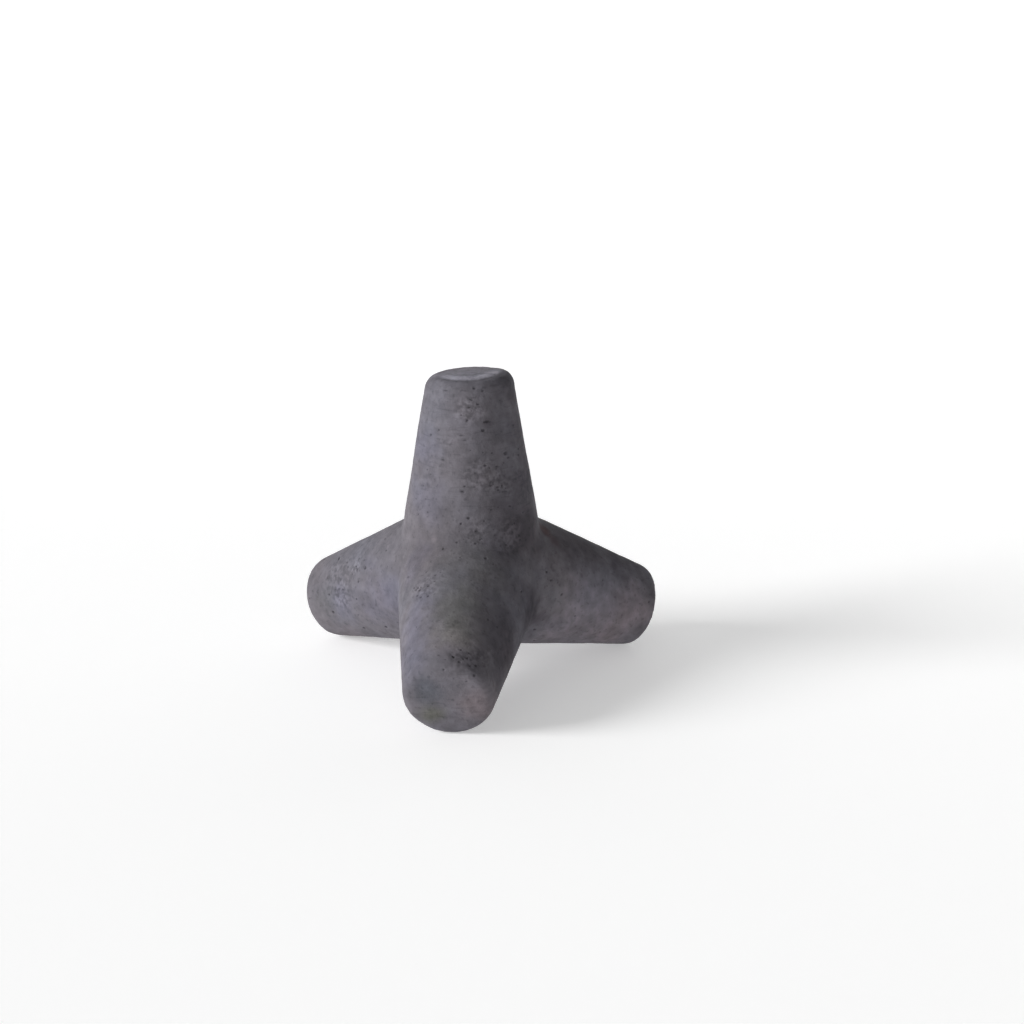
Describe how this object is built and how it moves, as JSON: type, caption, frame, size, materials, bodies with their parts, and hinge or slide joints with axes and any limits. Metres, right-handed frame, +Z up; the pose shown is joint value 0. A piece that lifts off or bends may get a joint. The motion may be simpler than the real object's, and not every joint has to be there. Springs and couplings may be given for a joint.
{
  "type": "concrete tetrapod",
  "caption": "Cast concrete armour block for breakwaters: equal tapered round legs at tetrahedral angles, with flat ends and blended valleys, standing with one leg upright.",
  "frame": {"origin": "point where the axes of the four legs meet, which is the block's centre of mass", "axes": "+Z up along the upright leg; one standing leg points towards -Y and down, the others towards +X +Y and -X +Y and down"},
  "size_m": [2.4216, 2.1611, 1.9997],
  "materials": {
    "concrete": "weathered cast concrete, dark violet grey, matte, with small air holes and streaks"
  },
  "bodies": {
    "root": {"tetrapod": "concrete"}
  },
  "joints": []
}
